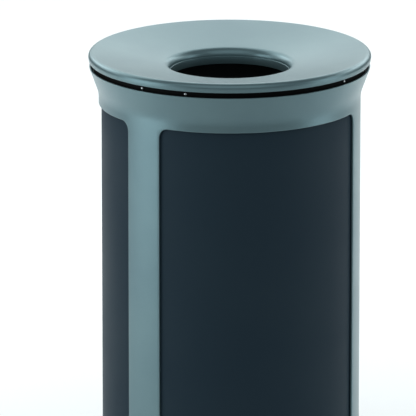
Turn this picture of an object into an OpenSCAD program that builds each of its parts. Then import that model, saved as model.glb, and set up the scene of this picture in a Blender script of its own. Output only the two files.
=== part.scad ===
// Round open-top litter bin: a metal frame with three dark curved panels, a funnel lid that
// hinges at the back, a black seat ring in the shadow gap and a lift-out rigid liner.
// Millimetres, +Z up, front towards -Y, origin on the floor under the bin's axis.

/* [Overall] */
// Height from the floor to the crown of the lid
bin_h = 800; // [650:5:1000]
// Widest diameter of the lid
lid_d = 460; // [380:2:560]

/* [Lid] */
// Thickness of the lid's wall
lid_wall = 3; // [2:0.5:4]
// Height from the lid's lower edge to its crown
rim_h = 14.5; // [12:0.5:20]
// Rounding of the rim's outer shoulder
rim_round = 8; // [6:0.5:10]
// How far the rim's lower edge turns in
rim_tuck = 0.8; // [0:0.1:1.5]
// Slope of the funnel, in degrees
funnel_slope = 9.5; // [6:0.5:12]
// Diameter of the lid's throat
throat_d = 196; // [150:2:240]
// Rounding from the funnel into the throat
throat_round = 13; // [8:0.5:18]
// Height of the straight lip below the throat's rounding
lip_h = 6; // [4:0.5:10]
// Length of the throat sleeve
sleeve_h = 13; // [12:0.5:30]
// Thickness of the throat sleeve
sleeve_wall = 1.2; // [1:0.1:2.5]
// Width of the sleeve's collar under the lid's lip
sleeve_collar = 6; // [4:0.5:10]

/* [Frame] */
// Shadow gap between the collar and the lid
lid_gap = 8.8; // [6:0.2:14]
// How far the lid's radius stands outside the frame's
lid_overhang = 16.6; // [14:0.2:22]
// Thickness of the frame's wall
frame_wall = 3.5; // [2.5:0.5:5]
// Height of the flared collar
collar_h = 51.2; // [44:0.2:80]
// Flare of the collar, in degrees
collar_flare = 20; // [16:1:22]
// Radius that blends the flare into the upright wall
collar_blend = 50; // [30:1:60]
// Upright wall between the collar and the windows
window_drop = 9.9; // [5:0.1:40]
// Height of the band below the windows
band_h = 78; // [50:1:140]
// Corner radius of the windows
window_round = 16; // [6:1:30]
// Width of each pilaster, in degrees of arc
pilaster_arc = 18; // [16:1:30]

/* [Panels] */
// Thickness of each panel
panel_wall = 3; // [2:0.5:4]
// Depth of the panels behind the frame's face
panel_recess = 4.5; // [4:0.1:8]
// Joint between two panels behind a pilaster
panel_joint = 10; // [9:0.5:14]
// Height that each panel reaches above its window
panel_lap = 14; // [8:1:20]
// Thickness of the retainer strips
retainer_wall = 2.5; // [1.5:0.5:4]
// Width of the retainer strips
retainer_w = 50; // [40:1:56]
// Screws in each retainer strip
retainer_screws_each = 4; // [2:1:6]

/* [Seat ring] */
// Distance of the ring's outer face inside the lid's radius
ring_inset = 9; // [8.5:0.1:12]
// Thickness of the seat ring
ring_wall = 2.5; // [1.5:0.5:3]
// Width of the ring's flange
ring_flange = 24; // [22:0.5:30]
// Depth of the frame's ledge below the collar's lip
ledge_drop = 8.7; // [8:0.1:14]
// Thickness of the frame's ledge
ledge_wall = 3; // [2:0.5:5]
// Height that the ring's wall reaches above the lid's lower edge
ring_lap = 4.5; // [2:0.5:6]
// Bearing of the rest blocks from the front and from the back, in degrees
block_bearing = 47.9; // [35:0.1:50]
// Width of each rest block, in degrees of arc
block_arc = 26; // [24:1:28]
// Depth of each rest block
block_depth = 7.5; // [6:0.5:8]
// Distance between a rest block's two rivets, in degrees of arc
rivet_arc = 20.8; // [14:0.1:22]

/* [Hinge] */
// Width of the hinge
hinge_w = 60; // [50:1:70]
// Width of the lid's knuckle
lid_knuckle_w = 19.6; // [14:0.1:24]
// Diameter of the knuckles
knuckle_d = 7.2; // [6.8:0.1:7.2]
// Diameter of the hinge pin
pin_d = 4; // [3:0.1:4.2]
// Thickness of the hinge leaves
leaf_wall = 2.5; // [2:0.1:2.5]
// Distance of the hinge's axis inside the lid's radius
hinge_inset = 4; // [3.8:0.1:4.2]

/* [Liner] */
// Gap between the liner's floor and the base pan
liner_floor_gap = 33; // [10:1:80]
// Thickness of the liner
liner_wall = 2.5; // [1.5:0.5:4]
// Gap between the liner and the seat ring
liner_clear = 4; // [3:0.5:8]
// Width of the liner's rim
liner_rim = 13; // [8:0.5:13]
// Radius lost from the liner's neck to its floor
liner_taper = 7; // [2:1:20]
// Height of the liner's upright neck
liner_neck = 73; // [60:1:90]
// Width of the bail handles
handle_w = 90; // [80:1:110]
// Drop of the bail handles below their pivots
handle_drop = 55; // [40:1:65]
// Diameter of the handle rod
handle_rod = 6; // [5:0.5:7]

/* [Base] */
// Height of the rubber feet
foot_h = 9; // [8:1:20]
// Diameter of the rubber feet
foot_d = 36; // [28:1:44]
// Thickness of the base pan and of the flange below it
base_wall = 3; // [2:0.5:5]
// Width of the frame's lower flange
flange_w = 63; // [60:1:90]
// Height of the pan's rim
pan_rim_h = 30; // [15:1:50]
// Bolt circle of the ground anchors
anchor_pcd = 200; // [120:5:240]
// Diameter of the anchor holes
anchor_d = 13; // [8:0.5:16]

/* [Hidden] */

$fn = 96;
// Small gap between curved faces that seat on each other
seat = 0.1;
// Gap of a part that rests on, but is not fixed to, what carries it
rest = 0.3;
// Play of a screw or rivet in its hole, and of a pin in its knuckle, on the radius
play = 0.1;
running = 0.05;
// Length by which a cut runs past what it cuts, and by which welded pieces sink in
over = 1;

// Radii
lid_r = lid_d / 2;
frame_r = lid_r - lid_overhang;
frame_in = frame_r - frame_wall;
panel_r = frame_r - panel_recess;
panel_in = panel_r - panel_wall;
retainer_r = panel_in - seat;
retainer_in = retainer_r - retainer_wall;
ring_r = lid_r - ring_inset;
ring_bore = ring_r - ring_flange;
liner_r = ring_bore - liner_clear;
liner_rim_r = liner_r + liner_rim;
throat_r = throat_d / 2;
sleeve_r = throat_r - seat;

// Levels
frame_z = foot_h;
pan_z = frame_z + base_wall;
pan_top = pan_z + base_wall;
edge_z = bin_h - rim_h;
collar_z = edge_z - lid_gap;
blend_z = collar_z - collar_h;
window_top = blend_z - window_drop;
window_bottom = frame_z + band_h;
ledge_z = collar_z - ledge_drop;
seat_z = ledge_z + ring_wall;
liner_rim_h = 2.5;
liner_top = seat_z + liner_rim_h;
liner_z = pan_top + liner_floor_gap;

// Bearings are measured from the front, in degrees, and grow towards +X
PANEL_BEARINGS = [0, -120, 120];
PILASTER_BEARINGS = [-60, 60, 180];
block_bearings = [
    -block_bearing, block_bearing, 180 - block_bearing, 180 + block_bearing
];
RING_SCREW_BEARINGS = [-20, 20, -90, 90, -160, 160];

// Centre height of the rim's shoulder, and the funnel's line, which is tangent to it
shoulder_r = lid_r - rim_round;
shoulder_z = bin_h - rim_round;
function funnel_z(r) = shoulder_z + rim_round * cos(funnel_slope)
    - (shoulder_r - rim_round * sin(funnel_slope) - r) * tan(funnel_slope);
function lid_under(r) = funnel_z(r) - lid_wall / cos(funnel_slope);
lip_r = throat_r + throat_round;
lip_z = funnel_z(lip_r - throat_round * sin(funnel_slope)) - throat_round * cos(funnel_slope);

// Outer radius of the frame at a level: upright, then a concave arc, then a straight flare
flare_z = blend_z + collar_blend * sin(collar_flare);
function frame_r_at(z) =
    z <= blend_z ? frame_r :
    z <= flare_z ? frame_r + collar_blend - sqrt(pow(collar_blend, 2) - pow(z - blend_z, 2)) :
    frame_r + collar_blend * (1 - cos(collar_flare)) + (z - flare_z) * tan(collar_flare);
BLEND_STEPS = 8;
CORNER_STEPS = 12;
// The rounding of a window's corner meets its sides at this angle, in degrees
corner_meet = 8;
corner_reach = window_round * cos(corner_meet);
collar_levels = concat(
    [for (i = [0:BLEND_STEPS]) blend_z + (flare_z - blend_z) * i / BLEND_STEPS],
    [collar_z]
);

// Hinge
hinge_y = lid_r - hinge_inset;
hinge_gap = 0.4;
knuckle_r = knuckle_d / 2;
hinge_z = edge_z - lid_gap / 2;
web_z = collar_z + 0.9;
leaf_lap_y = hinge_y - knuckle_r;
riser_y = hinge_y - 12.6;
frame_tab_y = riser_y - 6.5;
frame_screw_y = riser_y - 3.3;
frame_screw_x = hinge_w / 3;
lid_tab_z = edge_z + 1.5;
lid_tab_y = hinge_y - 18.5;
lid_leaf_x = 22;
lid_screw_y = hinge_y - 14;
lid_screw_x = 15;
lid_boss_r = 4.5;
notch_x = hinge_w / 2 + 4;
notch_z = seat_z + 3.5;

// Screws and rivets: shank radius, head radius, head height
M4 = [2, 3.4, 2.4];
M5 = [2.5, 5.5, 3];
M35 = [1.7, 3.2, 2.2];
RIVET = [1.6, 2.6, 1.4];
boss_r = 4;
boss_h = 7;
pan_boss_r = 5;
rivet_z = collar_z + 2.8;
rivet_len = 6;
ring_screw_r = ring_r - ring_wall - 5.5;
retainer_z0 = pan_top + pan_rim_h + 10;
retainer_z1 = window_top + panel_lap - 2;
screw_inset = 30;
base_screw_r = frame_r - 20;
base_screw_n = 6;
foot_r = frame_r - 34;
foot_n = 4;
foot_recess_r = 6.5;
foot_recess = foot_h - 4;
anchor_n = 4;

// Handles: pivots, ears and rod
pivot_r = liner_r - liner_wall - 10.5;
pivot_z = liner_top - 28;
bracket_h = 24;
bracket_wall = 2.4;
bracket_arc = 24;
ear_y = handle_w / 2 - 9;
ear_w = 4;
ear_r = 6;
pivot_rod = handle_rod / 2 - 0.1;
bail_bend = 10;
rivet_y = 10;

// Helpers

// Turns the +X direction to a bearing from the front
module bearing(a) {
    rotate([0, 0, a - 90]) children();
}

// Ring between two radii and two levels
module ring(r0, r1, z0, z1) {
    rotate_extrude() translate([r0, z0]) square([r1 - r0, z1 - z0]);
}

// Stretch of a ring, centred on a bearing
module arc_wall(r0, r1, z0, z1, centre, span) {
    bearing(centre - span / 2)
        rotate_extrude(angle = span) translate([r0, z0]) square([r1 - r0, z1 - z0]);
}

// Round bar along a bearing, between two radii
module radial_bar(b, z, r0, r1, radius) {
    bearing(b) translate([r0, 0, z]) rotate([0, 90, 0]) cylinder(r = radius, h = r1 - r0);
}

// Round bar along X
module cross_bar(y, z, x0, x1, radius) {
    translate([x0, y, z]) rotate([0, 90, 0]) cylinder(r = radius, h = x1 - x0);
}

// Block from two opposite corners
module block(low, high) {
    translate(low) cube(high - low);
}

// Screw whose head bears at the origin, with the shank along +Z
module screw(size, length) {
    cylinder(r = size[0], h = length);
    translate([0, 0, -size[2]]) cylinder(r1 = size[1] * 0.8, r2 = size[1], h = size[2]);
}

function arc_points(centre, r, a0, a1, steps) =
    [for (i = [0:steps]) let (a = a0 + (a1 - a0) * i / steps)
        [centre[0] + r * cos(a), centre[1] + r * sin(a)]];

// Frame: collar, pilasters, lower band and flange in one shell

module frame_section() {
    outer = [for (z = collar_levels) [frame_r_at(z), z]];
    inner = [for (i = [len(collar_levels) - 1:-1:0])
        [frame_r_at(collar_levels[i]) - frame_wall, collar_levels[i]]];
    polygon(concat([[frame_r, frame_z]], outer, inner, [[frame_in, frame_z]]));
}

// Corner of a window that stays solid outside its rounding
module window_corner(b, z, side, up) {
    reach = window_round + over;
    depth = frame_wall + 4 * over;
    outline = concat(arc_points([0, 0], window_round, 0, 90, CORNER_STEPS),
        [[0, reach], [reach, reach], [reach, 0]]);
    bearing(b) translate([frame_in - 2 * over, 0, z]) rotate([90, 0, 90])
        linear_extrude(height = depth) polygon([for (p = outline) [side * p[0], up * p[1]]]);
}

module window_cut(centre) {
    span = 120 - pilaster_arc;
    corner = span / 2 - asin(corner_reach / (frame_r + over));
    difference() {
        arc_wall(frame_in - over, frame_r + over, window_bottom, window_top, centre, span);
        for (side = [-1, 1]) {
            window_corner(centre + side * corner, window_top - corner_reach, side, 1);
            window_corner(centre + side * corner, window_bottom + corner_reach, side, -1);
        }
    }
}

module at_retainer_screws() {
    step = (retainer_z1 - retainer_z0 - 2 * screw_inset) / (retainer_screws_each - 1);
    for (b = PILASTER_BEARINGS)
        for (i = [0:retainer_screws_each - 1]) {
            level = retainer_z0 + screw_inset + i * step;
            bearing(b) translate([0, 0, level]) rotate([0, 90, 0]) children();
        }
}

module at_ring_screws() {
    for (b = RING_SCREW_BEARINGS)
        bearing(b) translate([ring_screw_r, 0, seat_z]) children();
}

module at_hinge_frame_screws() {
    for (side = [-1, 1])
        translate([side * frame_screw_x, frame_screw_y, seat_z + leaf_wall]) children();
}

module at_base_screws() {
    for (i = [0:base_screw_n - 1])
        bearing(i * 360 / base_screw_n) translate([base_screw_r, 0, frame_z]) children();
}

module at_feet() {
    for (i = [0:foot_n - 1])
        bearing((i + 0.5) * 360 / foot_n) translate([foot_r, 0, 0]) children();
}

module frame_shell() {
    color("#84979b") difference() {
        union() {
            rotate_extrude() frame_section();
            ring(ring_bore + 4, frame_r_at(ledge_z - ledge_wall) - frame_wall / 2,
                ledge_z - ledge_wall, ledge_z);
            ring(frame_r - flange_w, frame_in + over, frame_z, pan_z);
            at_retainer_screws() translate([0, 0, panel_in])
                cylinder(r = boss_r, h = frame_in - panel_in + over);
        }
        for (b = PANEL_BEARINGS)
            window_cut(b);
        at_retainer_screws() translate([0, 0, panel_in - over])
            cylinder(r = M4[0] + play, h = boss_h - over);
        at_ring_screws() translate([0, 0, -2 * ledge_wall - ring_wall])
            cylinder(r = M4[0] + play, h = 3 * ledge_wall + ring_wall);
        at_hinge_frame_screws() translate([0, 0, -2 * ledge_wall - ring_wall - leaf_wall])
            cylinder(r = M4[0] + play, h = 3 * ledge_wall + ring_wall);
        at_base_screws() translate([0, 0, -over])
            cylinder(r = M4[0] + play, h = base_wall + 2 * over);
        at_feet() translate([0, 0, frame_z - over])
            cylinder(r = M5[0] + play, h = base_wall + 2 * over);
    }
}

// Panels stand on the base pan and are held to the pilasters by the retainers

module panel(centre) {
    joint = 2 * asin(panel_joint / 2 / panel_in);
    arc_wall(panel_in, panel_r, pan_top, window_top + panel_lap, centre, 120 - joint);
}

module panel_front() {
    color("#1d262c") panel(PANEL_BEARINGS[0]);
}

module panel_left() {
    color("#1d262c") panel(PANEL_BEARINGS[1]);
}

module panel_right() {
    color("#1d262c") panel(PANEL_BEARINGS[2]);
}

module retainer(centre) {
    color("#9a9fa3") difference() {
        arc_wall(retainer_in, retainer_r, retainer_z0, retainer_z1, centre,
            2 * asin(retainer_w / 2 / retainer_r));
        at_retainer_screws() translate([0, 0, retainer_in - over])
            cylinder(r = M4[0] + play, h = retainer_wall + 2 * over);
    }
}

module retainer_left() {
    retainer(PILASTER_BEARINGS[0]);
}

module retainer_right() {
    retainer(PILASTER_BEARINGS[1]);
}

module retainer_back() {
    retainer(PILASTER_BEARINGS[2]);
}

module retainer_screws() {
    color("#b8bcbf") at_retainer_screws() translate([0, 0, retainer_in - seat])
        screw(M4, boss_h);
}

// Seat ring: the black angle ring in the shadow gap, which carries the liner, hinge and blocks

module at_rivets() {
    for (b = block_bearings)
        for (side = [-1, 1])
            bearing(b + side * rivet_arc / 2) translate([0, 0, rivet_z]) rotate([0, 90, 0]) children();
}

module seat_ring() {
    color("#101214") difference() {
        union() {
            ring(ring_bore, ring_r, ledge_z, seat_z);
            ring(ring_r - ring_wall, ring_r, ledge_z, edge_z + ring_lap);
        }
        block([-notch_x, ring_bore, notch_z], [notch_x, lid_r, bin_h]);
        at_ring_screws() translate([0, 0, -ring_wall - over])
            cylinder(r = M4[0] + play, h = ring_wall + 2 * over);
        at_hinge_frame_screws() translate([0, 0, -ring_wall - leaf_wall - over])
            cylinder(r = M4[0] + play, h = ring_wall + leaf_wall + over);
        at_rivets() translate([0, 0, ring_r - ring_wall - over])
            cylinder(r = RIVET[0] + play, h = ring_wall + 2 * over);
    }
}

module ring_screws() {
    color("#b8bcbf") at_ring_screws() rotate([180, 0, 0]) screw(M4, ring_wall + ledge_wall + 2);
}

module rest_blocks() {
    block_r = ring_r - ring_wall - seat;
    block_in = block_r - block_depth;
    color("#1a1c1e") difference() {
        for (b = block_bearings)
            arc_wall(block_in, block_r, seat_z, lid_under(block_in) - rest, b, block_arc);
        at_rivets() translate([0, 0, ring_r - rivet_len - ring_wall])
            cylinder(r = RIVET[0] + play, h = rivet_len + ring_wall);
    }
}

module ring_rivets() {
    color("#d5dadc") at_rivets() translate([0, 0, ring_r]) rotate([180, 0, 0])
        screw(RIVET, rivet_len);
}

// Base

module base_pan() {
    color("#2a2d30") difference() {
        union() {
            translate([0, 0, pan_z]) cylinder(r = frame_in - 0.5, h = base_wall);
            ring(panel_in - rest - base_wall, panel_in - rest, pan_z, pan_top + pan_rim_h);
            at_base_screws() translate([0, 0, base_wall])
                cylinder(r = pan_boss_r, h = base_wall + boss_h);
            at_feet() translate([0, 0, pan_z])
                cylinder(r = pan_boss_r + 1, h = base_wall + boss_h);
        }
        at_base_screws() cylinder(r = M4[0] + play, h = 2 * base_wall + boss_h - 1);
        at_feet() translate([0, 0, pan_z - over])
            cylinder(r = M5[0] + play, h = base_wall + boss_h + over - 1);
        for (i = [0:anchor_n - 1])
            bearing((i + 0.5) * 360 / anchor_n)
                translate([anchor_pcd / 2, 0, pan_z - over])
                    cylinder(d = anchor_d, h = base_wall + 2 * over);
    }
}

module base_screws() {
    color("#b8bcbf") at_base_screws() screw(M4, base_wall + 8);
}

module feet() {
    color("#17181a") at_feet() difference() {
        cylinder(d = foot_d, h = foot_h);
        translate([0, 0, -over]) cylinder(r = foot_recess_r, h = foot_recess + over);
        cylinder(r = M5[0] + play, h = foot_h + over);
    }
}

module foot_screws() {
    color("#b8bcbf") at_feet() translate([0, 0, foot_recess]) screw(M5, foot_h - foot_recess + 12);
}

// Liner and its bail handles

module liner() {
    inner = liner_r - liner_wall;
    neck_z = liner_top - liner_neck;
    color("#34383b") difference() {
        rotate_extrude() polygon([
            [0, liner_z], [liner_r - liner_taper, liner_z], [liner_r, neck_z],
            [liner_r, seat_z], [liner_rim_r, seat_z], [liner_rim_r, liner_top],
            [inner, liner_top], [inner, neck_z], [inner - liner_taper, liner_z + liner_wall],
            [0, liner_z + liner_wall]
        ]);
        for (b = [-90, 90])
            at_bracket_rivets(b) translate([0, 0, inner - over])
                cylinder(r = RIVET[0] + play, h = liner_wall + 2 * over);
    }
}

module at_bracket_rivets(b) {
    for (side = [-1, 1])
        bearing(b) translate([0, side * rivet_y, pivot_z]) rotate([0, 90, 0]) children();
}

module liner_bracket(b) {
    outer = liner_r - liner_wall - seat;
    inner = outer - bracket_wall;
    color("#a9adb0") difference() {
        union() {
            arc_wall(inner, outer, pivot_z - bracket_h / 2, pivot_z + bracket_h / 2, b, bracket_arc);
            for (side = [-1, 1])
                bearing(b) translate([pivot_r, side * ear_y - ear_w / 2, pivot_z]) {
                    rotate([-90, 0, 0]) cylinder(r = ear_r, h = ear_w);
                    translate([0, 0, -ear_r]) cube([5, ear_w, 2 * ear_r]);
                }
        }
        bearing(b) translate([pivot_r, -handle_w / 2, pivot_z]) rotate([-90, 0, 0])
            cylinder(r = pivot_rod + running, h = handle_w);
        at_bracket_rivets(b) translate([0, 0, inner - 2 * over])
            cylinder(r = RIVET[0] + play, h = bracket_wall + 4 * over);
    }
}

module liner_bracket_left() {
    liner_bracket(-90);
}

module liner_bracket_right() {
    liner_bracket(90);
}

module bracket_rivets() {
    length = liner_wall + bracket_wall;
    color("#b8bcbf") for (b = [-90, 90])
        at_bracket_rivets(b) translate([0, 0, liner_r]) rotate([180, 0, 0]) screw(RIVET, length);
}

// Bail with its grip along Y in the turned frame, and two pivots that point inwards
module handle(b) {
    rod_r = handle_rod / 2;
    arm_y = handle_w / 2;
    grip_y = arm_y - bail_bend;
    color("#b4b8ba") bearing(b) translate([pivot_r, 0, pivot_z]) {
        translate([0, -grip_y, -handle_drop]) rotate([-90, 0, 0]) cylinder(r = rod_r, h = 2 * grip_y);
        for (side = [-1, 1]) {
            translate([0, side * arm_y, bail_bend - handle_drop])
                cylinder(r = rod_r, h = handle_drop - bail_bend + rod_r + 1);
            translate([0, side * grip_y, bail_bend - handle_drop])
                rotate([0, 90, 0]) rotate([0, 0, side > 0 ? 0 : -90])
                    rotate_extrude(angle = 90) translate([bail_bend, 0]) circle(r = rod_r);
            translate([0, side > 0 ? ear_y - ear_w / 2 - 3 : -arm_y, 0])
                rotate([-90, 0, 0]) cylinder(r = pivot_rod, h = arm_y - ear_y + ear_w / 2 + 3);
        }
    }
}

module handle_left() {
    handle(-90);
}

module handle_right() {
    handle(90);
}

// Lid

module lid_section() {
    shoulder = [shoulder_r, shoulder_z];
    lip = [lip_r, lip_z];
    turn = 90 + funnel_slope;
    polygon(concat(
        [[lid_r - rim_tuck, edge_z]],
        arc_points(shoulder, rim_round, 0, 90, 14),
        arc_points(shoulder, rim_round, 90 + funnel_slope / 2, turn, 1),
        arc_points(lip, throat_round, turn, 180, 14),
        [[throat_r, lip_z - lip_h], [throat_r + lid_wall, lip_z - lip_h]],
        arc_points(lip, throat_round - lid_wall, 180, turn, 14),
        arc_points(shoulder, rim_round - lid_wall, turn, 0, 16),
        [[lid_r - rim_tuck - lid_wall, edge_z]]
    ));
}

module at_hinge_lid_screws() {
    for (side = [-1, 1])
        translate([side * lid_screw_x, lid_screw_y, lid_tab_z]) children();
}

module lid() {
    boss_z = lid_tab_z + leaf_wall;
    boss_top = lid_under(lid_screw_y) + lid_wall / 2;
    color("#a4b4b9") difference() {
        union() {
            rotate_extrude() lid_section();
            at_hinge_lid_screws() translate([0, 0, leaf_wall])
                cylinder(r = lid_boss_r, h = boss_top - boss_z);
        }
        at_hinge_lid_screws() cylinder(r = M35[0] + play, h = lid_under(lid_screw_y) - lid_tab_z);
    }
}

// Thin sleeve that lines the lid's lip, with a collar on which the lip stands
module throat_sleeve() {
    bore = sleeve_r - sleeve_wall;
    collar_top = lip_z - lip_h;
    color("#8fa0a5") {
        ring(bore, sleeve_r, lip_z - sleeve_h, lip_z);
        ring(bore, sleeve_r + sleeve_collar, collar_top - sleeve_wall, collar_top);
    }
}

// Hinge

module hinge_frame_leaf() {
    inner_x = lid_knuckle_w / 2 + hinge_gap;
    half = hinge_w / 2;
    color("#8d9396") difference() {
        union() {
            for (side = [-1, 1])
                cross_bar(hinge_y, hinge_z, side > 0 ? inner_x : -half, side > 0 ? half : -inner_x,
                    knuckle_r);
            block([-half, riser_y, web_z], [half, hinge_y, web_z + leaf_wall]);
            block([-half, riser_y, seat_z], [half, riser_y + leaf_wall, web_z + leaf_wall]);
            block([-half, frame_tab_y, seat_z], [half, riser_y + leaf_wall, seat_z + leaf_wall]);
        }
        block([-inner_x, leaf_lap_y - hinge_gap, web_z - over],
            [inner_x, hinge_y + knuckle_r, hinge_z + knuckle_r]);
        cross_bar(hinge_y, hinge_z, -half - over, half + over, pin_d / 2 + running);
        at_hinge_frame_screws() translate([0, 0, -leaf_wall - over])
            cylinder(r = M4[0] + play, h = leaf_wall + 2 * over);
    }
}

module hinge_lid_leaf() {
    half = lid_knuckle_w / 2;
    color("#8d9396") difference() {
        union() {
            cross_bar(hinge_y, hinge_z, -half, half, knuckle_r);
            block([-half, leaf_lap_y, hinge_z], [half, leaf_lap_y + leaf_wall, lid_tab_z + leaf_wall]);
            block([-lid_leaf_x, lid_tab_y, lid_tab_z],
                [lid_leaf_x, leaf_lap_y + leaf_wall, lid_tab_z + leaf_wall]);
        }
        cross_bar(hinge_y, hinge_z, -half - over, half + over, pin_d / 2 + running);
        at_hinge_lid_screws() translate([0, 0, -over])
            cylinder(r = M35[0] + play, h = leaf_wall + 2 * over);
    }
}

module hinge_pin() {
    half = hinge_w / 2;
    head = 1.5;
    color("#c3c7c9") {
        cross_bar(hinge_y, hinge_z, -half, half, pin_d / 2);
        for (side = [-1, 1])
            cross_bar(hinge_y, hinge_z, side > 0 ? half : -half - head,
                side > 0 ? half + head : -half, pin_d / 2 + 0.8);
    }
}

module hinge_frame_screws() {
    color("#b8bcbf") at_hinge_frame_screws() rotate([180, 0, 0])
        screw(M4, leaf_wall + ring_wall + ledge_wall + 2);
}

module hinge_lid_screws() {
    color("#b8bcbf") at_hinge_lid_screws()
        screw(M35, lid_under(lid_screw_y) - lid_tab_z - 0.5);
}

frame_shell();
panel_front();
panel_left();
panel_right();
retainer_left();
retainer_right();
retainer_back();
retainer_screws();
seat_ring();
ring_screws();
rest_blocks();
ring_rivets();
base_pan();
base_screws();
feet();
foot_screws();
liner();
liner_bracket_left();
liner_bracket_right();
bracket_rivets();
handle_left();
handle_right();
lid();
throat_sleeve();
hinge_frame_leaf();
hinge_lid_leaf();
hinge_pin();
hinge_frame_screws();
hinge_lid_screws();
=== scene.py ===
"""Builds the looks of a round open-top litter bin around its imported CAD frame."""

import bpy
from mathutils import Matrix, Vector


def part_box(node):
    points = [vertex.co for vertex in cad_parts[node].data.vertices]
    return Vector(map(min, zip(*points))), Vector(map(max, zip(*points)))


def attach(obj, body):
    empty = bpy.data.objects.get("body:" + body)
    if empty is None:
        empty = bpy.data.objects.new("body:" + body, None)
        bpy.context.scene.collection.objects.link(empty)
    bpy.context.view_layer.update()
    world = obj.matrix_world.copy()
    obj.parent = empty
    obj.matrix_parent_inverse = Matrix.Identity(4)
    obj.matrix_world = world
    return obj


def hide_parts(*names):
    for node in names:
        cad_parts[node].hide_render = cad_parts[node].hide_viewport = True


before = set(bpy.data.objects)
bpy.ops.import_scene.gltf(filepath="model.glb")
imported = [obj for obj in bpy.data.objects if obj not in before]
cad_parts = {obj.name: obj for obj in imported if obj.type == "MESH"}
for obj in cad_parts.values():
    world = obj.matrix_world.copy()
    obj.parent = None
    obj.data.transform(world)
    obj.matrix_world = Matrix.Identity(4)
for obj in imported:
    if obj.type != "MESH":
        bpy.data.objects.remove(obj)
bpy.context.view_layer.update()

import logging  # noqa: E402
import math  # noqa: E402
from dataclasses import dataclass, field  # noqa: E402
from enum import Enum  # noqa: E402
from typing import Callable, Iterable, List, Sequence, Tuple  # noqa: E402

import bmesh  # noqa: E402
import bpy  # noqa: E402
from mathutils import Matrix, Vector  # noqa: E402

LOG = logging.getLogger("bin")
WELD = 1e-6  # distance at which two points are one
OVERLAP = 0.0005  # how far a ring runs into the wall that it joins
RING_STEPS = 192  # stretches of a plain ring
CELL = 120.0  # degrees from one pilaster to the next
RIM_H = 0.0145  # height of the lid's rim

Point = Tuple[float, float]
Colour = Tuple[float, float, float]


# ---------------------------------------------------------------- finishes


class Coat(Enum):
    """What a finish is: paint, plastic, rubber or bare metal. Only paint has a clear coat."""

    PAINT = "paint"
    PLASTIC = "plastic"
    RUBBER = "rubber"
    METAL = "metal"


COAT_ROUGHNESS = 0.25
RELIEF_STRENGTH = 0.6
DUST_COLOUR = (0.42, 0.44, 0.43)


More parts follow.
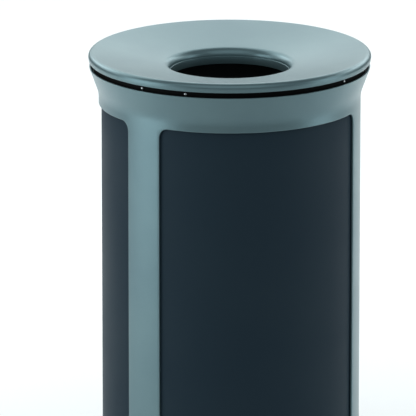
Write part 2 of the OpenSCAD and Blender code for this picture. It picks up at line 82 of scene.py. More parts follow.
@dataclass(frozen=True)
class Finish:
    """A procedural surface finish.

    Args:
        name: Name of the material.
        slot: Material slot of the record that it stands for. Not used.
        coat: What it is.
        colour: Linear base colour.
        shade: Linear colour of its darker patches.
        metallic: How metallic the paint or metal is.
        roughness: Middle value of its roughness.
        spread: How far the roughness strays from the middle.
        grain_scale: Grains in a metre.
        grain_depth: Height of the grain, in metres.
        mottle_scale: Soft patches in a metre.
        mottle: How much the patches show, from 0 to 1.
        dust: How much pale dust lies on upward faces, from 0 to 1.
        coat_weight: Weight of a clear coat.
        brushed: Stretch of the grain along the height, or 1 for none.
        specular: Strength of the reflections of what isn't metal.
    """

    name: str
    slot: str
    coat: Coat
    colour: Colour
    shade: Colour
    metallic: float
    roughness: float
    spread: float
    grain_scale: float
    grain_depth: float
    mottle_scale: float = 6.0
    mottle: float = 0.5
    dust: float = 0.0
    coat_weight: float = 0.0
    brushed: float = 1.0
    specular: float = 0.5

    def material(self) -> bpy.types.Material:
        """Gives the material, made on first use.

        Returns:
            The node material of this finish.
        """
        made = bpy.data.materials.get(self.name)
        return made if made else self._build()

    def _build(self) -> bpy.types.Material:
        """Builds the node tree.

        Returns:
            The new material.
        """
        material = bpy.data.materials.new(self.name)
        material.use_nodes = True
        tree = material.node_tree
        shader = tree.nodes["Principled BSDF"]
        place = tree.nodes.new("ShaderNodeTexCoord").outputs["Object"]
        stretch = tree.nodes.new("ShaderNodeMapping")
        stretch.inputs["Scale"].default_value = (1.0, 1.0, 1.0 / self.brushed)
        tree.links.new(place, stretch.inputs["Vector"])
        grain_place = stretch.outputs["Vector"]
        patches = self._noise(tree, place, self.mottle_scale, 4.0, 0.55)
        grain = self._noise(tree, grain_place, self.grain_scale, 3.0, 0.6)
        fine = self._noise(tree, grain_place, self.grain_scale * 5.0, 2.0, 0.5)
        self._colour(tree, shader, patches, fine)
        self._roughness(tree, shader, patches, grain)
        self._relief(tree, shader, grain, fine)
        shader.inputs["Metallic"].default_value = self.metallic
        clear = self.coat_weight if self.coat is Coat.PAINT else 0.0
        shader.inputs["Coat Weight"].default_value = clear
        shader.inputs["Coat Roughness"].default_value = COAT_ROUGHNESS
        shader.inputs["Specular IOR Level"].default_value = self.specular
        return material

    @staticmethod
    def _noise(tree: bpy.types.NodeTree, place: bpy.types.NodeSocket, scale: float,
               detail: float, rough: float) -> bpy.types.NodeSocket:
        """Adds a noise texture.

        Args:
            tree: Node tree to add it to.
            place: Coordinates that it reads.
            scale: Its scale.
            detail: Its levels of detail.
            rough: Weight of its finer levels.

        Returns:
            Its grey output.
        """
        noise = tree.nodes.new("ShaderNodeTexNoise")
        noise.inputs["Scale"].default_value = scale
        noise.inputs["Detail"].default_value = detail
        noise.inputs["Roughness"].default_value = rough
        tree.links.new(place, noise.inputs["Vector"])
        return noise.outputs["Fac"]

    @staticmethod
    def _span(tree: bpy.types.NodeTree, value: bpy.types.NodeSocket, low: float, high: float,
              to_low: float, to_high: float) -> bpy.types.NodeSocket:
        """Maps a value's span onto another, held at its ends.

        Args:
            tree: Node tree to add to.
            value: The value to map.
            low: Start of its span.
            high: End of its span.
            to_low: Start of the new span.
            to_high: End of the new span.

        Returns:
            The mapped value.
        """
        span = tree.nodes.new("ShaderNodeMapRange")
        span.inputs["From Min"].default_value = low
        span.inputs["From Max"].default_value = high
        span.inputs["To Min"].default_value = to_low
        span.inputs["To Max"].default_value = to_high
        tree.links.new(value, span.inputs["Value"])
        return span.outputs["Result"]

    @staticmethod
    def _blend(tree: bpy.types.NodeTree, factor: bpy.types.NodeSocket,
               first: Sequence[float] | bpy.types.NodeSocket,
               second: Sequence[float]) -> bpy.types.NodeSocket:
        """Mixes two colours.

        Args:
            tree: Node tree to add to.
            factor: How much of the second colour shows.
            first: The first colour, or the socket that gives it.
            second: The second colour.

        Returns:
            The mixed colour.
        """
        mix = tree.nodes.new("ShaderNodeMix")
        mix.data_type = "RGBA"
        tree.links.new(factor, mix.inputs["Factor"])
        if isinstance(first, bpy.types.NodeSocket):
            tree.links.new(first, mix.inputs["A"])
        else:
            mix.inputs["A"].default_value = (*first, 1.0)
        mix.inputs["B"].default_value = (*second, 1.0)
        return mix.outputs["Result"]

    def _colour(self, tree: bpy.types.NodeTree, shader: bpy.types.Node,
                patches: bpy.types.NodeSocket, fine: bpy.types.NodeSocket) -> None:
        """Links the colour: soft patches, fine flecks and a little dust on what faces up.

        Args:
            tree: Node tree to add to.
            shader: Shader that takes the colour.
            patches: Noise of the soft patches.
            fine: Noise of the flecks.
        """
        base = self._blend(tree, self._span(tree, patches, 0.35, 0.7, 0.0, self.mottle),
                           self.colour, self.shade)
        fleck = tuple(min(1.0, c * 1.35 + 0.01) for c in self.colour)
        base = self._blend(tree, self._span(tree, fine, 0.58, 0.8, 0.0, 0.35), base, fleck)
        if self.dust > 0.0:
            facing = tree.nodes.new("ShaderNodeNewGeometry").outputs["Normal"]
            split = tree.nodes.new("ShaderNodeSeparateXYZ")
            tree.links.new(facing, split.inputs["Vector"])
            up = self._span(tree, split.outputs["Z"], 0.75, 1.0, 0.0, self.dust)
            lying = tree.nodes.new("ShaderNodeMath")
            lying.operation = "MULTIPLY"
            tree.links.new(up, lying.inputs[0])
            tree.links.new(patches, lying.inputs[1])
            base = self._blend(tree, lying.outputs["Value"], base, DUST_COLOUR)
        tree.links.new(base, shader.inputs["Base Color"])

    def _roughness(self, tree: bpy.types.NodeTree, shader: bpy.types.Node,
                   patches: bpy.types.NodeSocket, grain: bpy.types.NodeSocket) -> None:
        """Links the roughness: handled patches and the grain change it a little.

        Args:
            tree: Node tree to add to.
            shader: Shader that takes the roughness.
            patches: Noise of the soft patches.
            grain: Noise of the grain.
        """
        total = tree.nodes.new("ShaderNodeMath")
        total.operation = "ADD"
        half = self.spread / 2
        low, high = self.roughness - half, self.roughness + half
        tree.links.new(self._span(tree, patches, 0.3, 0.7, low, high), total.inputs[0])
        tree.links.new(self._span(tree, grain, 0.3, 0.7, -half, half), total.inputs[1])
        tree.links.new(total.outputs["Value"], shader.inputs["Roughness"])

    def _relief(self, tree: bpy.types.NodeTree, shader: bpy.types.Node,
                grain: bpy.types.NodeSocket, fine: bpy.types.NodeSocket) -> None:
        """Links the relief: the grain with a finer one on it.

        Args:
            tree: Node tree to add to.
            shader: Shader that takes the relief.
            grain: Noise of the grain.
            fine: Noise of the finer grain.
        """
        height = tree.nodes.new("ShaderNodeMath")
        height.operation = "ADD"
        tree.links.new(grain, height.inputs[0])
        tree.links.new(self._span(tree, fine, 0.0, 1.0, 0.0, 0.3), height.inputs[1])
        bump = tree.nodes.new("ShaderNodeBump")
        bump.inputs["Strength"].default_value = RELIEF_STRENGTH
        bump.inputs["Distance"].default_value = self.grain_depth
        tree.links.new(height.outputs["Value"], bump.inputs["Height"])
        tree.links.new(bump.outputs["Normal"], shader.inputs["Normal"])


SILVER_FRAME = Finish("silver_frame_paint", "frame_paint", Coat.PAINT, (0.162, 0.252, 0.272),
                      (0.133, 0.213, 0.241), 0.70, 0.36, 0.05, 900.0, 0.00003, mottle=0.7,
                      coat_weight=0.1, brushed=6.0)
SILVER_LID = Finish("silver_lid_paint", "lid_paint", Coat.PAINT, (0.162, 0.252, 0.272),
                    (0.136, 0.217, 0.246), 0.66, 0.36, 0.05, 900.0, 0.00003, mottle=0.6,
                    dust=0.10, coat_weight=0.1)
CHARCOAL_PANEL = Finish("charcoal_panel", "panel", Coat.PLASTIC, (0.0210, 0.0390, 0.0540),
                        (0.0180, 0.0350, 0.0510), 0.0, 0.55, 0.06, 700.0, 0.00004, mottle=0.7,
                        specular=0.1)
BLACK_PAINT = Finish("black_ring_paint", "black_paint", Coat.PAINT, (0.0030, 0.0036, 0.0042),
                     (0.0020, 0.0025, 0.0030), 0.0, 0.7, 0.1, 600.0, 0.00004, specular=0.1)
ZINC_STEEL = Finish("zinc_steel", "bare_steel", Coat.METAL, (0.50, 0.51, 0.52),
                    (0.38, 0.39, 0.41), 0.95, 0.38, 0.14, 500.0, 0.00003, mottle_scale=25.0,
                    brushed=12.0)
BRIGHT_ZINC = Finish("bright_zinc", "fastener", Coat.METAL, (0.66, 0.67, 0.68),
                     (0.50, 0.51, 0.53), 1.0, 0.26, 0.10, 900.0, 0.00002, mottle_scale=60.0)
BLACK_RUBBER = Finish("black_rubber", "rubber", Coat.RUBBER, (0.016, 0.016, 0.017),
                      (0.010, 0.010, 0.011), 0.0, 0.72, 0.12, 450.0, 0.00008,
                      specular=0.3)
GREY_LINER = Finish("grey_liner_plastic", "liner_plastic", Coat.PLASTIC, (0.060, 0.066, 0.070),
                    (0.046, 0.051, 0.055), 0.0, 0.52, 0.12, 420.0, 0.00010, mottle=0.8)


# ---------------------------------------------------------------- mesh work


def arc(centre: Point, radius: float, start: float, end: float, steps: int) -> List[Point]:
    """Gives points along an arc.

    Args:
        centre: Centre of the arc, as radius and height.
        radius: Radius of the arc.
        start: First angle, in degrees.
        end: Last angle, in degrees.
        steps: Number of stretches.

    Returns:
        The points, ends included.
    """
    turns = (math.radians(start + (end - start) * i / steps) for i in range(steps + 1))
    return [(centre[0] + radius * math.cos(t), centre[1] + radius * math.sin(t)) for t in turns]


def on_bearing(bearing: float, radius: float, height: float) -> Vector:
    """Gives a point round the bin's axis.

    Args:
        bearing: Bearing from the front, in degrees.
        radius: Distance from the axis.
        height: Height.

    Returns:
        The point.
    """
    turn = math.radians(bearing)
    return Vector((radius * math.sin(turn), -radius * math.cos(turn), height))


def revolve(bm: bmesh.types.BMesh, section: Sequence[Point], steps: int,
            start: float = 0.0, span: float = 360.0) -> None:
    """Spins a closed section round the bin's axis into a solid.

    Args:
        bm: Mesh to add the solid to.
        section: Corners of the section, as radius and height.
        steps: Stretches of the spin.
        start: Bearing at which the spin starts, in degrees.
        span: Degrees of the spin; 360 closes it.
    """
    corners = [bm.verts.new(on_bearing(start, r, z)) for r, z in section]
    edges = [bm.edges.new((a, b)) for a, b in zip(corners, corners[1:] + corners[:1])]
    whole = span >= 360.0
    geometry = corners + edges
    if not whole:
        geometry.append(bm.faces.new(corners))
    bmesh.ops.spin(bm, geom=geometry, axis=(0, 0, 1), cent=(0, 0, 0), steps=steps,
                   angle=math.radians(span), use_merge=whole, use_duplicate=False)


def ring(bm: bmesh.types.BMesh, inner: float, outer: float, low: float, high: float) -> None:
    """Adds a plain flat ring.

    Args:
        bm: Mesh to add it to.
        inner: Inner radius.
        outer: Outer radius.
        low: Height of its foot.
        high: Height of its top.
    """
    revolve(bm, [(inner, low), (outer, low), (outer, high), (inner, high)], RING_STEPS)


def dish(bm: bmesh.types.BMesh, section: Sequence[Point], steps: int) -> None:
    """Spins an open section whose ends lie on the axis into a closed solid.

    Args:
        bm: Mesh to add the solid to.
        section: Points from axis to axis, as radius and height.
        steps: Stretches of the spin.
    """
    points = [bm.verts.new(on_bearing(0.0, r, z)) for r, z in section]
    edges = [bm.edges.new(pair) for pair in zip(points, points[1:])]
    bmesh.ops.spin(bm, geom=points + edges, axis=(0, 0, 1), cent=(0, 0, 0), steps=steps,
                   angle=math.tau, use_merge=True, use_duplicate=False)
    bmesh.ops.remove_doubles(bm, verts=bm.verts[:], dist=WELD)


def merge(bm: bmesh.types.BMesh, part: bmesh.types.BMesh) -> None:
    """Adds one mesh to another.

    Args:
        bm: Mesh to add to.
        part: Mesh to add. It is freed.
    """
    mesh = bpy.data.meshes.new("part")
    part.to_mesh(mesh)
    part.free()
    bm.from_mesh(mesh)
    bpy.data.meshes.remove(mesh)


def wrap(bm: bmesh.types.BMesh, radius_at: Callable[[float], float]) -> None:
    """Wraps a flat sheet round the bin's axis.

    Args:
        bm: Sheet whose X is a bearing in radians and whose Z is a height.
        radius_at: Gives the radius at a height.
    """
    for vert in bm.verts:
        bearing, height = vert.co.x, vert.co.z
        vert.co = on_bearing(math.degrees(bearing), radius_at(height), height)


def finished(bm: bmesh.types.BMesh, name: str, finish: Finish, body: str,
             replaces: Iterable[str] = (), crease: float = 35.0) -> bpy.types.Object:
    """Turns a mesh into a dressed piece that rides on a body.

    Args:
        bm: The mesh, in the row frame. It is freed.
        name: Name of the piece.
        finish: Its finish.
        body: CAD body that it rides on.
        replaces: CAD nodes that it stands for.
        crease: Angle above which an edge stays sharp, in degrees.

    Returns:
        The new object.
    """
    bmesh.ops.recalc_face_normals(bm, faces=bm.faces[:])
    for face in bm.faces:
        face.smooth = True
    for edge in bm.edges:
        if len(edge.link_faces) == 2:
            edge.smooth = edge.calc_face_angle(0.0) < math.radians(crease)
    mesh = bpy.data.meshes.new(name)
    bm.to_mesh(mesh)
    bm.free()
    piece = bpy.data.objects.new(name, mesh)
    bpy.context.scene.collection.objects.link(piece)
    mesh.materials.append(finish.material())
    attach(piece, body)
    if replaces:
        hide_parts(*replaces)
    LOG.info("%s: %d faces on %s", name, len(mesh.polygons), body)
    return piece


def soften(bm: bmesh.types.BMesh, width: float, segments: int, angle: float = 40.0) -> None:
    """Rounds every edge that is sharper than an angle.

    Args:
        bm: Mesh to work on.
        width: Width of the rounding.
        segments: Stretches across it.
        angle: Least angle between two faces, in degrees.
    """
    bmesh.ops.recalc_face_normals(bm, faces=bm.faces[:])
    sharp = [e for e in bm.edges if len(e.link_faces) == 2
             and e.calc_face_angle(0.0) > math.radians(angle)]
    bmesh.ops.bevel(bm, geom=sharp, offset=width, offset_type="OFFSET", segments=segments,
                    profile=0.5, affect="EDGES", clamp_overlap=True, material=-1)


def dress(nodes: Iterable[str], finish: Finish) -> None:
    """Gives CAD nodes a finish.

    Args:
        nodes: Names of the nodes.
        finish: The finish.
    """
    for name in nodes:
        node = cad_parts[name]
        node.data.materials.clear()
        node.data.materials.append(finish.material())
        LOG.info("%s dressed in %s", name, finish.name)


# ---------------------------------------------------------------- the lid


@dataclass
class FunnelLid:
    """The funnel lid, with its rolled rim, its throat and the sleeve that lines the throat."""

    rim_round: float = 0.008
    tuck: float = 0.0008
    wall: float = 0.003
    slope: float = 9.5
    throat_r: float = 0.098
    throat_round: float = 0.013
    lip_h: float = 0.006
    sleeve_wall: float = 0.0012
    seat: float = 0.0001
    boss_r: float = 0.0045
    boss_cover: float = 0.001
    steps: int = 288
    outer_r: float = field(init=False)
    crown: float = field(init=False)

    def __post_init__(self) -> None:
        """Reads the lid's radius and crown off the frame."""
        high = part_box("lid")[1]
        self.outer_r, self.crown = high[0], high[2]

    def shoulder(self) -> Point:
        """Gives the centre of the rim's rounding.

        Returns:
            Its radius and height.
        """
        return self.outer_r - self.rim_round, self.crown - self.rim_round

    def lip_centre(self) -> Point:
        """Gives the centre of the rounding into the throat.

        Returns:
            Its radius and height.
        """
        turn = math.radians(self.slope)
        start_r, start_z = arc(self.shoulder(), self.rim_round, 90.0 + self.slope, 0.0, 1)[0]
        centre_r = self.throat_r + self.throat_round
        meet_r = centre_r - self.throat_round * math.sin(turn)
        meet_z = start_z - (start_r - meet_r) * math.tan(turn)
        return centre_r, meet_z - self.throat_round * math.cos(turn)

    def section(self) -> List[Point]:
        """Gives the lid's closed section.

        Returns:
            Corners as radius and height.
        """
        edge = self.crown - RIM_H
        shoulder, lip = self.shoulder(), self.lip_centre()
        turn = 90.0 + self.slope
        foot = lip[1] - self.lip_h
        half = self.wall / 2
        hem = arc((self.outer_r - self.tuck - half, edge + half), half, -180.0, 0.0, 8)
        tip = arc((self.throat_r + half, foot + half), half, 180.0, 360.0, 8)
        return (hem + arc(shoulder, self.rim_round, 0.0, turn, 24)
                + self._funnel(shoulder, lip, turn)
                + arc(lip, self.throat_round, turn, 180.0, 20) + tip
                + arc(lip, self.throat_round - self.wall, 180.0, turn, 12)
                + arc(shoulder, self.rim_round - self.wall, turn, 0.0, 12))

    def _funnel(self, shoulder: Point, lip: Point, turn: float, rows: int = 8) -> List[Point]:
        """Gives the rows of the funnel between its two roundings.

        Args:
            shoulder: Centre of the rim's rounding.
            lip: Centre of the rounding into the throat.
            turn: Angle at which both roundings meet the funnel, in degrees.
            rows: Stretches between them.

        Returns:
            The rows, without the two ends.
        """
        start_r, start_z = arc(shoulder, self.rim_round, turn, turn, 1)[0]
        end_r, end_z = arc(lip, self.throat_round, turn, turn, 1)[0]
        return [(start_r + (end_r - start_r) * i / rows, start_z + (end_z - start_z) * i / rows)
                for i in range(1, rows)]

    def build(self) -> None:
        """Builds the lid and its sleeve."""
        bm = bmesh.new()
        revolve(bm, self.section(), self.steps)
        self._bosses(bm)
        finished(bm, "funnel_lid", SILVER_LID, "lid", ["lid"])
        self._sleeve()

    def _bosses(self, bm: bmesh.types.BMesh) -> None:
        """Adds the two bosses that take the hinge's screws."""
        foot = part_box("hinge_lid_leaf")[1][2]
        low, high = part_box("hinge_lid_screws")
        head_r = (high[1] - low[1]) / 2
        tip = high[2] + self.boss_cover
        for side in (-1.0, 1.0):
            centre = (side * (high[0] - head_r), (low[1] + high[1]) / 2, (foot + tip) / 2)
            bmesh.ops.create_cone(bm, cap_ends=True, segments=32, radius1=self.boss_r,
                                  radius2=self.boss_r, depth=tip - foot,
                                  matrix=Matrix.Translation(centre))

    def _sleeve(self) -> None:
        """Builds the throat's sleeve, with its collar under the lip."""
        low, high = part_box("throat_sleeve")
        outer = self.throat_r - self.seat
        bore = outer - self.sleeve_wall
        collar_top = self.lip_centre()[1] - self.lip_h
        collar_foot = collar_top - self.sleeve_wall
        half = self.sleeve_wall / 2
        section = (arc((bore + half, high[2] - half), half, 0.0, 180.0, 6)
                   + arc((bore + half, low[2] + half), half, 180.0, 360.0, 6)
                   + [(outer, collar_foot), (high[0], collar_foot), (high[0], collar_top),
                      (outer, collar_top)])
        bm = bmesh.new()
        revolve(bm, section, self.steps)
        finished(bm, "throat_lining", SILVER_LID, "lid", ["throat_sleeve"])


# ---------------------------------------------------------------- the frame


@dataclass
class FrameShell:
    """The painted shell: flared collar, three pilasters and a lower band, with three windows."""

    wall: float = 0.0035
    recess: float = 0.0045
    collar_h: float = 0.0512
    flare: float = 20.0
    blend: float = 0.050
    window_drop: float = 0.0099
    band_h: float = 0.078
    corner: float = 0.016
    pilaster_arc: float = 18.0
    flange_w: float = 0.063
    flange_wall: float = 0.003
    bore_inset: float = 0.005
    margin: float = 0.008
    along: int = 34
    rise: int = 14
    bend: int = 8
    rows_above: int = 22
    rows_below: int = 6
    edge_round: float = 0.0009
    low: float = field(init=False)
    top: float = field(init=False)
    radius: float = field(init=False)

    def __post_init__(self) -> None:
        """Reads the shell's levels and radius off the frame."""
        shell_low, shell_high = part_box("frame_shell")
        self.low, self.top = shell_low[2], shell_high[2]
        self.radius = -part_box("panel_front")[0][1] + self.recess

    def radius_at(self, height: float) -> float:
        """Gives the outer radius at a height: upright, a concave arc, then a straight flare.

        Args:
            height: The height.

        Returns:
            The radius there.
        """
        turn = math.radians(self.flare)
        start = self.top - self.collar_h
        end = start + self.blend * math.sin(turn)
        if height <= start:
            return self.radius
        if height <= end:
            return self.radius + self.blend - math.sqrt(self.blend ** 2 - (height - start) ** 2)
        return self.radius + self.blend * (1 - math.cos(turn)) + (height - end) * math.tan(turn)

    def _window_levels(self) -> Tuple[float, float]:
        """Gives the heights of the windows' bottom and top.

        Returns:
            The bottom and the top.
        """
        return self.low + self.band_h, self.top - self.collar_h - self.window_drop

    def _window_outline(self) -> Tuple[List[Vector], List[Vector]]:
        """Gives one window's outline and, for each of its points, its mate on the cell's edge.

        Returns:
            The outline and the mates, anticlockwise, with a bearing as X and a height as Z.
        """
        half = math.radians((CELL - self.pilaster_arc) / 2)
        bottom, top = self._window_levels()
        turn = self.corner / self.radius
        cell_half = math.radians(CELL / 2)
        inner_x, inner_low, inner_high = half - turn, bottom + self.corner, top - self.corner
        outline: List[Vector] = []
        mates: List[Vector] = []
        corners = ((1, 1), (-1, 1), (-1, -1), (1, -1))
        for index, (side, rise) in enumerate(corners):
            centre_z = inner_high if rise > 0 else inner_low
            edge_z = top + self.margin if rise > 0 else bottom - self.margin
            for step in range(self.bend + 1):
                t = step / self.bend
                a = math.radians(90.0 * (t if side * rise > 0 else 1.0 - t))
                outline.append(Vector((side * (inner_x + turn * math.cos(a)), 0.0,
                                       centre_z + rise * self.corner * math.sin(a))))
                flat = min(1.0, math.tan(a)) if a < math.radians(89.9) else 1.0
                steep = min(1.0, 1.0 / math.tan(a)) if a > math.radians(0.1) else 1.0
                mates.append(Vector((side * (inner_x + (cell_half - inner_x) * steep), 0.0,
                                     centre_z + (edge_z - centre_z) * flat)))
            level_run = side * rise > 0
            straight = self.along if level_run else self.rise
            after_side, after_rise = corners[(index + 1) % 4]
            for step in range(1, straight):
                t = step / straight
                if level_run:
                    x = side * inner_x + (after_side * inner_x - side * inner_x) * t
                    outline.append(Vector((x, 0.0, top if rise > 0 else bottom)))
                    mates.append(Vector((x, 0.0, edge_z)))
                else:
                    other_z = inner_high if after_rise > 0 else inner_low
                    z = centre_z + (other_z - centre_z) * t
                    outline.append(Vector((side * half, 0.0, z)))
                    mates.append(Vector((side * cell_half, 0.0, z)))
        return outline, mates

    def _cell(self, bm: bmesh.types.BMesh, centre: float) -> None:
        """Adds the flat sheet round one window.

        Args:
            bm: Mesh to add it to.
            centre: Bearing of the window's middle, in radians.
        """
        outline, mates = self._window_outline()
        shift = Vector((centre, 0.0, 0.0))
        loop = [bm.verts.new(p + shift) for p in outline]
        rim = [bm.edges.new(pair) for pair in zip(loop, loop[1:] + loop[:1])]
        bmesh.ops.extrude_edge_only(bm, edges=rim)
        spokes = [edge for vert in loop for edge in vert.link_edges if edge not in rim]
        for near, spoke, mate in zip(loop, spokes, mates):
            spoke.other_vert(near).co = mate + shift
        bmesh.ops.subdivide_edges(bm, edges=spokes, cuts=4, use_grid_fill=True)

    def _grow(self, bm: bmesh.types.BMesh, start: float, levels: Sequence[float]) -> None:
        """Extends the sheet's border at one height to further heights.

        Args:
            bm: The flat sheet.
            start: Height of the border.
            levels: Heights of the new rows, in order.
        """
        at = start
        for level in levels:
            border = [e for e in bm.edges if len(e.link_faces) < 2
                      and all(abs(v.co.z - at) < WELD for v in e.verts)]
            new = bmesh.ops.extrude_edge_only(bm, edges=border)["geom"]
            for vert in (g for g in new if isinstance(g, bmesh.types.BMVert)):
                vert.co.z = level
            at = level

    def build(self) -> None:
        """Builds the shell with its ledge and flange."""
        bm = bmesh.new()
        for turn in (-CELL, 0.0, CELL):
            self._cell(bm, math.radians(turn))
        bmesh.ops.remove_doubles(bm, verts=bm.verts[:], dist=WELD)
        bottom, top = self._window_levels()
        for start, end, rows in ((top + self.margin, self.top, self.rows_above),
                                 (bottom - self.margin, self.low, self.rows_below)):
            self._grow(bm, start, [start + (end - start) * i / rows for i in range(1, rows + 1)])
        wrap(bm, self.radius_at)
        bmesh.ops.remove_doubles(bm, verts=bm.verts[:], dist=WELD)
        bmesh.ops.recalc_face_normals(bm, faces=bm.faces[:])
        self._thicken(bm)
        soften(bm, self.edge_round, 3)
        self._ledge_and_flange(bm)
        finished(bm, "frame_casing", SILVER_FRAME, "frame", ["frame_shell"])

    def _thicken(self, bm: bmesh.types.BMesh) -> None:
        """Gives the sheet its wall, which grows towards the axis at the same height."""
        outer = bm.faces[:]
        copy = bmesh.ops.duplicate(bm, geom=bm.verts[:] + bm.edges[:] + outer)
        inner_verts = [g for g in copy["geom"] if isinstance(g, bmesh.types.BMVert)]
        for vert in inner_verts:
            flat = Vector((vert.co.x, vert.co.y, 0.0))
            vert.co -= flat.normalized() * self.wall
        mate = copy["vert_map"]
        for edge in [e for e in bm.edges if len(e.link_faces) == 1 and e.link_faces[0] in outer]:
            a, b = edge.verts
            bm.faces.new((a, b, mate[b], mate[a]))

    def _ledge_and_flange(self, bm: bmesh.types.BMesh) -> None:
        """Adds the ledge inside the collar and the flange under the base pan."""
        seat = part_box("seat_ring")[0][2]
        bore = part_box("liner")[1][0] - self.bore_inset
        ledge_foot = seat - self.flange_wall
        ring(bm, bore, self.radius_at(ledge_foot) - self.wall + OVERLAP, ledge_foot, seat)
        ring(bm, self.radius - self.flange_w, self.radius - self.wall + OVERLAP, self.low,
             self.low + self.flange_wall)


@dataclass
class InfillPanels:
    """The three dark curved panels behind the windows."""

    wall: float = 0.003
    joint: float = 0.010
    edge_round: float = 0.0006
    columns: int = 96
    rows: int = 12

    def build(self) -> None:
        """Builds each panel on its own bearing."""
        for node, bearing in (("panel_front", 0.0), ("panel_left", -CELL), ("panel_right", CELL)):
            self._panel(node, bearing)

    def _panel(self, node: str, bearing: float) -> None:
        """Builds one panel.

        Args:
            node: CAD node that it stands for.
            bearing: Bearing of its middle, in degrees.
        """
        low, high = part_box(node)
        radius = -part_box("panel_front")[0][1]
        half = math.radians(CELL / 2) - math.asin(self.joint / 2 / (radius - self.wall))
        bm = bmesh.new()
        bmesh.ops.create_grid(bm, x_segments=self.columns, y_segments=self.rows, size=1.0,
                              matrix=Matrix.Rotation(math.radians(90.0), 4, "X"))
        middle, reach = (low[2] + high[2]) / 2, (high[2] - low[2]) / 2
        for vert in bm.verts:
            vert.co = Vector((math.radians(bearing) + half * vert.co.x, 0.0,
                              middle + reach * vert.co.z))
        outer = bm.faces[:]
        copy = bmesh.ops.duplicate(bm, geom=bm.verts[:] + bm.edges[:] + outer)
        inner = {g for g in copy["geom"] if isinstance(g, bmesh.types.BMVert)}
        mate = copy["vert_map"]
        for edge in [e for e in bm.edges if len(e.link_faces) == 1 and e.verts[0] not in inner]:
            a, b = edge.verts
            bm.faces.new((a, b, mate[b], mate[a]))
        for vert in bm.verts:
            depth = radius - self.wall if vert in inner else radius
            vert.co = on_bearing(math.degrees(vert.co.x), depth, vert.co.z)
        soften(bm, self.edge_round, 2)
        finished(bm, f"dark_{node}", CHARCOAL_PANEL, "frame", [node])


@dataclass
class SeatRing:
    """The black angle ring in the shadow gap, with its rivets and the lid's rest blocks."""

    wall: float = 0.0025
    flange: float = 0.024
    notch_x: float = 0.034
    notch_rise: float = 0.0035
    rivet_head: float = 0.0026
    rivet_dome: float = 0.0014
    rivet_length: float = 0.006
    rivet_shank: float = 0.0016
    rivet_level: float = 0.0115
    block_bearing: float = 47.9
    rivet_arc: float = 20.8
    steps: int = 256
    lip_steps: int = 240

    def build(self) -> None:
        """Builds the ring and its rivets, and dresses the blocks."""
        low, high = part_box("seat_ring")
        radius = high[0]
        seat, foot, top = low[2] + self.wall, low[2], high[2]
        inner = radius - self.wall
        notch = math.degrees(math.asin(self.notch_x / radius))
        step = seat + self.notch_rise
        bm = bmesh.new()
        revolve(bm, [(radius - self.flange, foot), (radius, foot), (radius, step), (inner, step),
                     (inner, seat), (radius - self.flange, seat)], self.steps)
        half = self.wall / 2
        lip = [(inner, step), (radius, step)] + arc((inner + half, top - half), half, 0.0, 180.0, 6)
        revolve(bm, lip, self.lip_steps, start=-180.0 + notch, span=360.0 - 2 * notch)
        finished(bm, "black_seat_ring", BLACK_PAINT, "frame", ["seat_ring"])
        self._rivets(radius, low[2] + self.rivet_level)
        dress(["rest_blocks"], BLACK_RUBBER)

    def _rivets(self, radius: float, level: float) -> None:
        """Builds the domed rivets that show as bright dots in the gap.

        Args:
            radius: Outer radius of the ring.
            level: Height of the rivets.
        """
        bm = bmesh.new()
        for side in (-1.0, 1.0):
            for middle in (self.block_bearing, 180.0 - self.block_bearing):
                for offset in (-self.rivet_arc / 2, self.rivet_arc / 2):
                    self._rivet(bm, side * (middle + offset), radius, level)
        finished(bm, "gap_rivets", BRIGHT_ZINC, "frame", ["ring_rivets"])

    def _rivet(self, bm: bmesh.types.BMesh, bearing: float, radius: float, level: float) -> None:
        """Adds one rivet with its axis along a bearing.

        Args:
            bm: Mesh to add it to.
            bearing: Its bearing, in degrees.
            radius: Radius on which its head sits.
            level: Its height.
        """
        one = bmesh.new()
        dome = [(self.rivet_head * r, self.rivet_dome * z)
                for r, z in arc((0.0, 0.0), 1.0, 0.0, 90.0, 6)]
        dish(one, [(0.0, -self.rivet_length), (self.rivet_shank, -self.rivet_length),
                   (self.rivet_shank, 0.0)] + dome, 20)
        turn = (Matrix.Rotation(math.radians(bearing), 4, "Z")
                @ Matrix.Translation((0, -radius, level))
                @ Matrix.Rotation(math.radians(90.0), 4, "X"))
        bmesh.ops.transform(one, matrix=turn, verts=one.verts[:])
        merge(bm, one)


# ---------------------------------------------------------------- inside and below


@dataclass
class RigidLiner:
    """The lift-out liner, with its rolled rim, and its bail handles."""

    wall: float = 0.0025
    rim: float = 0.013
    rim_wall: float = 0.0025
    taper: float = 0.007
    neck: float = 0.073
    floor_round: float = 0.012

    def build(self) -> None:
        """Builds the liner and dresses its fittings."""
        low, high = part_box("liner")
        rim_r, top, foot = high[0], high[2], low[2]
        body = rim_r - self.rim
        seat = top - self.rim_wall
        bottom = body - self.taper
        neck = top - self.neck
        bend = self.floor_round
        inner = body - self.wall
        half = self.rim_wall / 2
        section = ([(0.0, foot)] + arc((bottom - bend, foot + bend), bend, -90.0, 0.0, 8)
                   + [(body, neck), (body, seat)]
                   + arc((rim_r - half, seat + half), half, -90.0, 90.0, 8)
                   + arc((inner + half, top - half), half, 90.0, 180.0, 4)
                   + [(inner, neck)]
                   + arc((bottom - bend, foot + bend), bend - self.wall, 0.0, -90.0, 6)
                   + [(0.0, foot + self.wall)])
        bm = bmesh.new()
        dish(bm, section, RING_STEPS)
        finished(bm, "rigid_liner", GREY_LINER, "liner", ["liner"])
        dress(["liner_bracket_left", "liner_bracket_right", "handle_left", "handle_right"],
              ZINC_STEEL)
        dress(["bracket_rivets"], BRIGHT_ZINC)


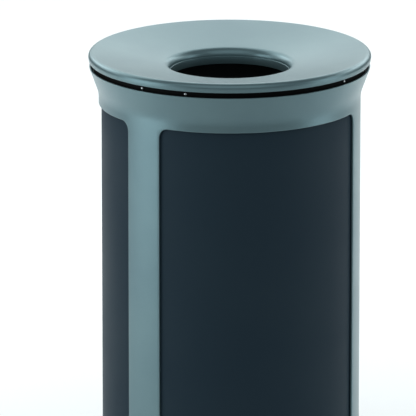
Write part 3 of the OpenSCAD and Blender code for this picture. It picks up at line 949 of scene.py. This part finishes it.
@dataclass
class BaseGear:
    """What stands the bin on the ground: the pan, the rubber feet and their screws."""

    feet: int = 4
    foot_r: float = 0.018
    height: float = 0.009
    recess_r: float = 0.0065
    recess: float = 0.005
    bore_r: float = 0.0026
    side_in: float = 0.0004
    toe: float = 0.0012
    groove_in: float = 0.001
    groove: Tuple[float, float, float, float] = (0.0045, 0.0048, 0.0054, 0.0058)
    rib: float = 0.0006
    steps: int = 48

    def build(self) -> None:
        """Builds the feet and dresses the pan and screws."""
        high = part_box("feet")[1]
        reach = (high[0] - self.foot_r) * math.sqrt(2.0)
        bm = bmesh.new()
        for index in range(self.feet):
            one = bmesh.new()
            revolve(one, self._foot_section(), self.steps)
            place = on_bearing((index + 0.5) * 360.0 / self.feet, reach, 0.0)
            bmesh.ops.translate(one, vec=place, verts=one.verts[:])
            merge(bm, one)
        finished(bm, "rubber_feet", BLACK_RUBBER, "frame", ["feet"])
        dress(["base_pan"], BLACK_PAINT)
        dress(["base_screws", "foot_screws", "ring_screws", "retainer_screws", "hinge_frame_screws",
               "hinge_lid_screws", "hinge_pin"], BRIGHT_ZINC)
        dress(["retainer_left", "retainer_right", "retainer_back", "hinge_frame_leaf",
               "hinge_lid_leaf"], ZINC_STEEL)

    def _foot_section(self) -> List[Point]:
        """Gives a foot's section, with a groove round its side and a recess for its screw.

        Returns:
            Corners as radius and height.
        """
        side, waist = self.foot_r - self.side_in, self.foot_r - self.groove_in
        return [(self.recess_r, 0.0), (side - self.toe, 0.0), (side, self.toe),
                (side, self.groove[0]), (waist, self.groove[1]), (waist, self.groove[2]),
                (self.foot_r, self.groove[3]), (self.foot_r, self.height - self.rib),
                (self.foot_r - self.rib, self.height), (self.bore_r, self.height),
                (self.bore_r, self.recess), (self.recess_r, self.recess)]


# ---------------------------------------------------------------- the studio


@dataclass(frozen=True)
class SoftLight:
    """A soft rectangular light.

    Args:
        name: Name of the light.
        place: Right, behind and up from the bin's foot as the camera sees it, in metres.
        aim: Point that it looks at, given in the same way.
        size: Width and height, in metres.
        power: Watts.
        tint: Colour of its gel.
    """

    name: str
    place: Tuple[float, float, float]
    aim: Tuple[float, float, float]
    size: Tuple[float, float]
    power: float
    tint: Colour = (1.0, 1.0, 1.0)


COOL, HAZE = (0.9, 1.0, 1.03), (0.93, 1.0, 1.01)
WORLD_STRENGTH = 0.18
LID_TOP, UNDER_RIM = (0.0, 0.0, 0.8), (0.0, 0.0, 0.75)
LIGHTS = (
    SoftLight("left_soft", (-2.2, -0.75, 0.95), UNDER_RIM, (1.6, 2.0), 17.0, COOL),
    SoftLight("right_soft", (2.3, -0.3, 1.0), UNDER_RIM, (1.0, 1.9), 9.0, COOL),
    SoftLight("front_soft", (0.0, -2.6, 3.6), LID_TOP, (5.0, 3.6), 29.5, COOL),
    SoftLight("back_soft", (0.0, 3.4, 2.6), (0.0, 3.4, 0.0), (7.0, 4.4), 138.0, HAZE),
    SoftLight("far_soft", (0.0, 6.5, 2.4), LID_TOP, (8.0, 2.0), 50.0, HAZE),
    SoftLight("floor_soft", (-1.7, 1.3, 1.5), (-1.7, 1.3, 0.0), (1.8, 1.8), 18.0),
    SoftLight("floor_soft", (1.7, 1.3, 1.5), (1.7, 1.3, 0.0), (1.8, 1.8), 18.0),
)


@dataclass
class Studio:
    """A pale floor, soft lights at both sides and above, and the camera."""

    azimuth: float = -18.7
    elevation: float = 14.87
    distance: float = 11.0
    field_w: float = 0.6762
    sensor: float = 36.0
    right_of_middle: float = 0.0353
    above_middle: float = 0.2410
    floor_size: float = 30.0
    floor_grey: float = 0.9
    floor_roughness: float = 0.9

    def build(self) -> None:
        """Builds the floor, the lights and the camera."""
        self._floor()
        self._lights()
        self._camera()

    def _floor(self) -> None:
        """Makes the pale floor."""
        bm = bmesh.new()
        bmesh.ops.create_grid(bm, x_segments=8, y_segments=8, size=self.floor_size)
        mesh = bpy.data.meshes.new("floor")
        bm.to_mesh(mesh)
        bm.free()
        floor = bpy.data.objects.new("floor", mesh)
        bpy.context.scene.collection.objects.link(floor)
        material = bpy.data.materials.new("pale_floor")
        material.use_nodes = True
        shader = material.node_tree.nodes["Principled BSDF"]
        shader.inputs["Base Color"].default_value = (*[self.floor_grey] * 3, 1.0)
        shader.inputs["Roughness"].default_value = self.floor_roughness
        mesh.materials.append(material)

    def _light(self, soft: SoftLight) -> None:
        """Makes one soft light.

        Args:
            soft: What it is and where it stands.
        """
        data = bpy.data.lights.new(soft.name, "AREA")
        data.shape = "RECTANGLE"
        data.size, data.size_y = soft.size
        data.energy = soft.power
        data.color = soft.tint
        light = bpy.data.objects.new(soft.name, data)
        bpy.context.scene.collection.objects.link(light)
        turn = Matrix.Rotation(math.radians(self.azimuth), 3, "Z")
        place, aim = Vector(soft.place), Vector(soft.aim)
        light.location = turn @ place
        light.rotation_mode = "QUATERNION"
        light.rotation_quaternion = (turn @ (aim - place)).to_track_quat("-Z", "Y")

    def _lights(self) -> None:
        """Makes the world and the soft lights."""
        world = bpy.data.worlds.new("studio")
        world.use_nodes = True
        background = world.node_tree.nodes["Background"]
        background.inputs["Color"].default_value = (*COOL, 1.0)
        background.inputs["Strength"].default_value = WORLD_STRENGTH
        bpy.context.scene.world = world
        for soft in LIGHTS:
            self._light(soft)

    def _camera(self) -> None:
        """Places the camera, with a long lens so that uprights stay upright."""
        a, e = math.radians(self.azimuth), math.radians(self.elevation)
        back = Vector((math.sin(a) * math.cos(e), -math.cos(a) * math.cos(e), math.sin(e)))
        right = Vector((math.cos(a), math.sin(a), 0.0))
        up = back.cross(right)
        edge = Vector((0.0, 0.0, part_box("lid")[1][2] - RIM_H))
        target = edge - right * self.right_of_middle - up * self.above_middle
        data = bpy.data.cameras.new("camera")
        data.sensor_width = self.sensor
        data.lens = self.sensor * self.distance / self.field_w
        data.clip_start, data.clip_end = 0.1, 100.0
        camera = bpy.data.objects.new("camera", data)
        bpy.context.scene.collection.objects.link(camera)
        camera.location = target + back * self.distance
        camera.rotation_mode = "QUATERNION"
        camera.rotation_quaternion = back.to_track_quat("Z", "Y")
        bpy.context.scene.camera = camera
        bpy.context.scene.view_settings.view_transform = "Standard"


def main() -> None:
    """Builds the bin's pieces in order, then the studio."""
    logging.basicConfig(level=logging.INFO, format="%(name)s: %(message)s")
    for part in (FunnelLid(), FrameShell(), InfillPanels(), SeatRing(), RigidLiner(), BaseGear()):
        part.build()
    Studio().build()


if __name__ == "__main__":
    main()
